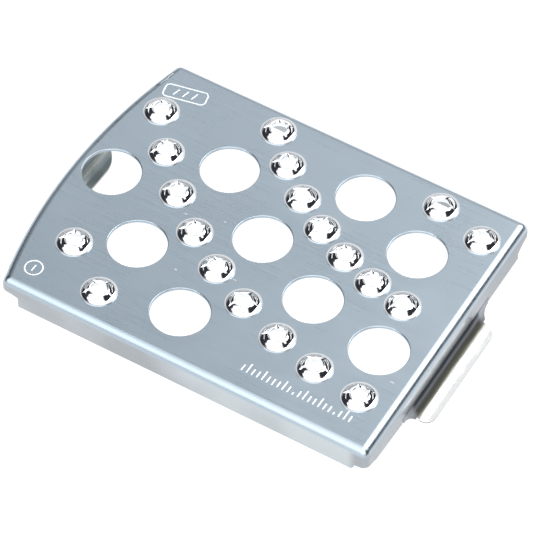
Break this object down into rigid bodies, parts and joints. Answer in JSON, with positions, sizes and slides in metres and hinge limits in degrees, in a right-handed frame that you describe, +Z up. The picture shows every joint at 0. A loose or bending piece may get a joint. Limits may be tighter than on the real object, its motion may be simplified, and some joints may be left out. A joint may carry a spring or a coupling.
{
  "type": "vehicle pedal pad",
  "caption": "Pressed steel pad that clips over a vehicle pedal: rimmed tray with drain holes, raised crown-shaped grip studs and fold-under clamp tabs.",
  "frame": {"origin": "middle of the pad in X and Y, on the plane of the two clamp tabs' undersides, where the pad stands when it is laid down and where the pedal pocket opens", "axes": "+X along the front edge from the rounded left end to the right end, +Y from the front edge to the far edge, +Z up through the tread face"},
  "size_m": [0.0841, 0.0614, 0.0092],
  "materials": {
    "satin_steel": "satin, faintly brushed",
    "polished_stud": "mirror polished",
    "polished_tab": "bright, near mirror"
  },
  "bodies": {
    "pad": {"pad_shell": "satin_steel", "left_clamp_hook": "polished_tab", "grip_stud_01": "polished_stud", "grip_stud_02": "polished_stud", "grip_stud_03": "polished_stud", "grip_stud_04": "polished_stud", "grip_stud_05": "polished_stud", "grip_stud_06": "polished_stud", "grip_stud_07": "polished_stud", "grip_stud_08": "polished_stud", "grip_stud_09": "polished_stud", "grip_stud_10": "polished_stud", "grip_stud_11": "polished_stud", "grip_stud_12": "polished_stud", "grip_stud_13": "polished_stud", "grip_stud_14": "polished_stud", "grip_stud_15": "polished_stud", "grip_stud_16": "polished_stud", "grip_stud_17": "polished_stud", "grip_stud_18": "polished_stud", "grip_stud_19": "polished_stud", "grip_stud_20": "polished_stud"},
    "right_tab": {"right_clamp_tab": "polished_tab"}
  },
  "joints": [
    {"name": "right_tab_fold", "type": "hinge", "parent": "pad", "child": "right_tab", "pos_m": [0.0391, -0.00003, 0.0033], "axis": [-0.0366, 0.9993, 0], "range_deg": [0, 150]}
  ]
}
